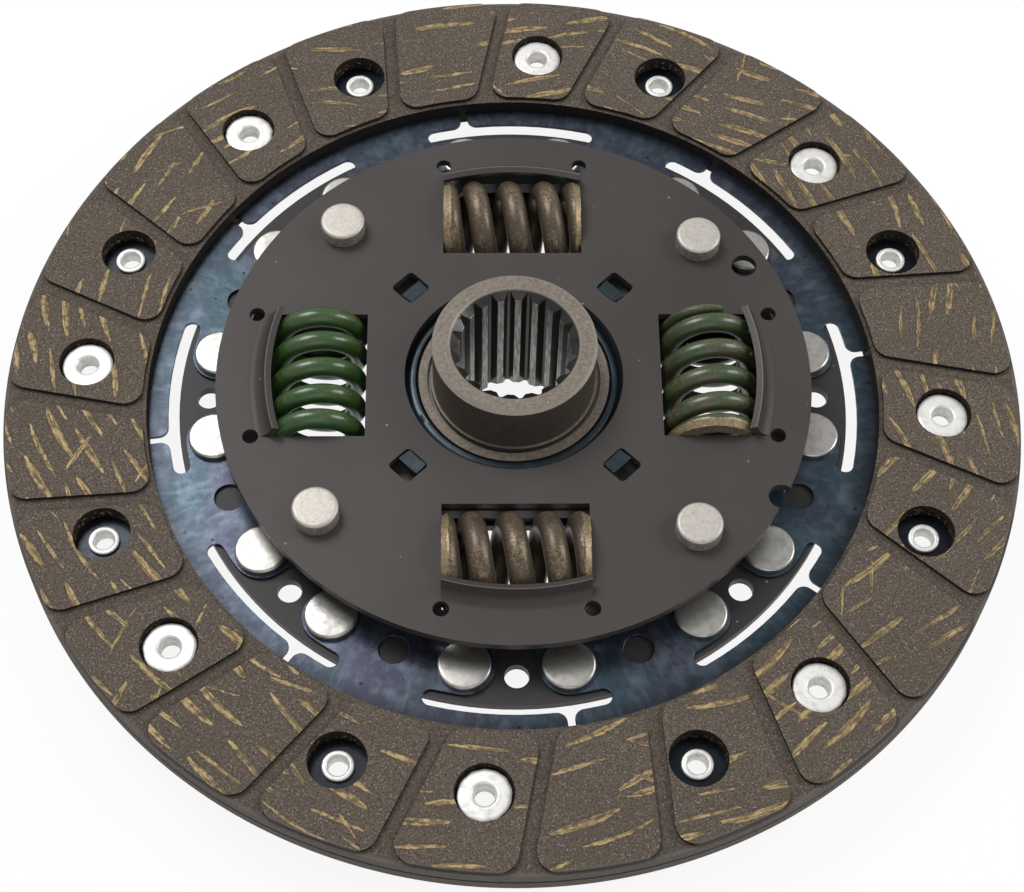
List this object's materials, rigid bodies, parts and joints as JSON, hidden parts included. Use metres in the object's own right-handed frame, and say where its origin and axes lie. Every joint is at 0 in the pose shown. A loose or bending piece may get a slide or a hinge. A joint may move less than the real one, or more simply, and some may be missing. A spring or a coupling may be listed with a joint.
{
  "type": "clutch disc",
  "caption": "Sprung dry clutch disc: grooved friction facings riveted to a cushion plate, damper springs in windows between two side plates, and a hub with a splined bore.",
  "frame": {"origin": "on the shaft axis, at the rear end face of the hub", "axes": "+Z along the shaft axis, towards the cover plate's side; +X and +Y through the middles of two neighbouring spring windows"},
  "size_m": [0.2, 0.2, 0.0332],
  "materials": {
    "facing": "moulded friction composite, matt, with brass wire fibres",
    "facing_rivet": "matt, silver white",
    "blued_plate": "heat blued spring steel",
    "bright_rivet": "polished nickel",
    "phosphated_plate": "dark satin phosphate",
    "pin_steel": "turned, light grey",
    "hub_steel": "brown grey phosphate, spline lands bright",
    "flange_steel": "dark satin phosphate",
    "blued_washer": "blue black spring steel",
    "friction_ring": "matt moulded",
    "bronze_spring": "bronze brown, worn to gold on the outside",
    "green_spring": "glossy green, worn brown on the outside"
  },
  "bodies": {
    "driven_plate": {"front_facing": "facing", "rear_facing": "facing", "front_facing_rivets": "facing_rivet", "rear_facing_rivets": "facing_rivet", "cushion_plate": "blued_plate", "cushion_rivets": "bright_rivet", "drive_plate": "phosphated_plate", "cover_plate": "phosphated_plate", "stop_pin_a": "pin_steel", "stop_pin_b": "pin_steel", "stop_pin_c": "pin_steel", "stop_pin_d": "pin_steel", "key_washer": "blued_washer", "friction_spring": "blued_washer", "front_friction_ring": "friction_ring", "rear_friction_ring": "friction_ring", "hub_bush": "friction_ring"},
    "hub": {"hub": "hub_steel", "hub_flange": "flange_steel"},
    "damper_springs": {"spring_north": "bronze_spring", "spring_south": "bronze_spring", "spring_east": "green_spring", "spring_west": "green_spring"}
  },
  "joints": [
    {"name": "hub_twist", "type": "hinge", "parent": "driven_plate", "child": "hub", "pos_m": [0, 0, 0.0165], "axis": [0, 0, 1], "range_deg": [-7, 7], "stiffness_Nm_per_rad": 5, "deforming": ["spring_north", "spring_south", "spring_east", "spring_west"]},
    {"name": "spring_follow", "type": "hinge", "parent": "driven_plate", "child": "damper_springs", "pos_m": [0, 0, 0.0165], "axis": [0, 0, 1], "range_deg": [-3.5, 3.5]}
  ],
  "couplings": [
    {"joint": "spring_follow", "follows": "hub_twist", "ratio": 0.5}
  ]
}
